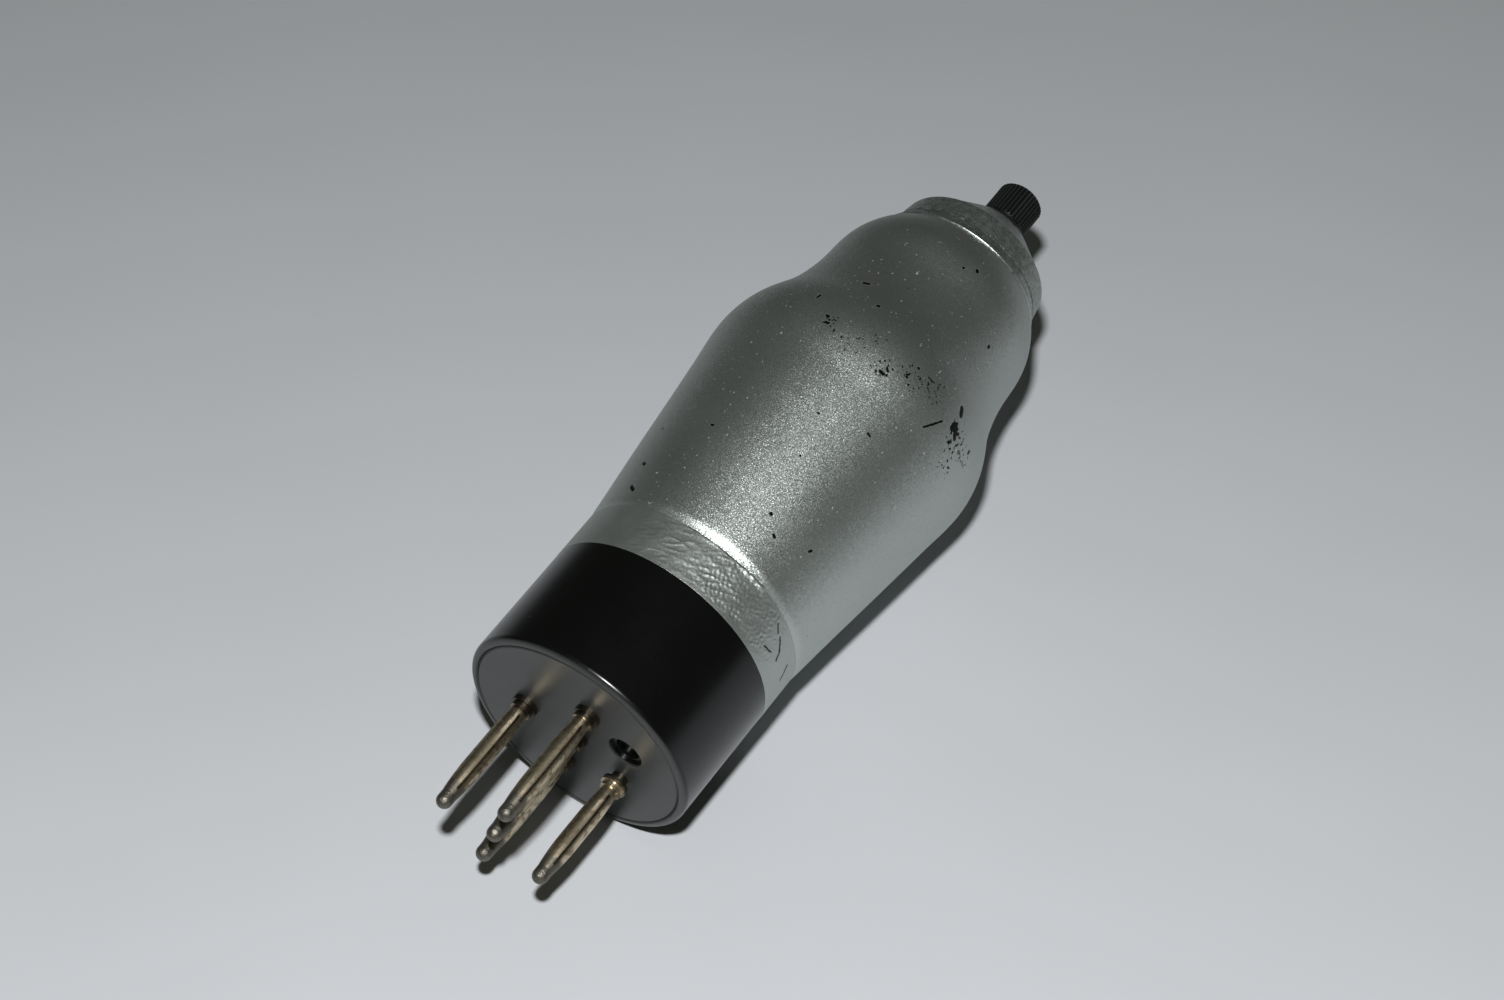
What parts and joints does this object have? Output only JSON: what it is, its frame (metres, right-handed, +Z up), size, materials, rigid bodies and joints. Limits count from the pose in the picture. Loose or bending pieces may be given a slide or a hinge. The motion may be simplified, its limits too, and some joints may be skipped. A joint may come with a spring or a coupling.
{
  "type": "tetrode vacuum tube",
  "caption": "Metal-sprayed radio valve with a waisted bulb, black base, five split plug pins and a knurled screw terminal on top.",
  "frame": {"origin": "centre of the bounding box at floor level, with the valve lying on its side", "axes": "+X along the valve towards its top terminal (the axis rises 3.89 degrees), +Y to the left seen from the pins, +Z up"},
  "size_m": [0.1358, 0.0442, 0.0443],
  "materials": {
    "sprayed_metal": "satin metal spray, speckled, with small chips",
    "sprayed_cap": "satin metal spray over a moulding",
    "sprayed_strip": "crinkled, sprayed with metal",
    "sprayed_cement": "rough, sprayed with metal",
    "black_moulding": "polished black moulding",
    "black_nut": "black moulding, knurled",
    "aged_nickel": "worn nickel plate on brass",
    "solder": "dull grey solder",
    "tinned_wire": "tinned copper wire",
    "brass": "turned brass"
  },
  "bodies": {
    "valve": {"bulb": "sprayed_metal", "base_shell": "black_moulding", "contact_strip": "sprayed_strip", "base_cement": "sprayed_cement", "top_cap": "sprayed_cap", "cap_cement": "sprayed_cement", "terminal_stud": "brass", "top_lead": "tinned_wire", "pin_heater_left": "aged_nickel", "solder_heater_left": "solder", "lead_heater_left": "tinned_wire", "pin_heater_right": "aged_nickel", "solder_heater_right": "solder", "lead_heater_right": "tinned_wire", "pin_upper": "aged_nickel", "solder_upper": "solder", "lead_upper": "tinned_wire", "pin_centre": "aged_nickel", "solder_centre": "solder", "lead_centre": "tinned_wire", "pin_lower": "aged_nickel", "solder_lower": "solder", "lead_lower": "tinned_wire"},
    "washer": {"terminal_washer": "brass"},
    "nut": {"nut_insert": "brass", "terminal_nut": "black_nut"}
  },
  "joints": [
    {"name": "nut_turn", "type": "hinge", "parent": "valve", "child": "washer", "pos_m": [0.0614, 0, 0.02523], "axis": [0.9977, 0, 0.0678], "range_deg": [0, 2160]},
    {"name": "nut_rise", "type": "slide", "parent": "washer", "child": "nut", "axis": [0.9977, 0, 0.0678], "range_m": [0, 0.003]}
  ],
  "couplings": [
    {"joint": "nut_turn", "follows": "nut_rise", "rad_per_m": 12566}
  ]
}
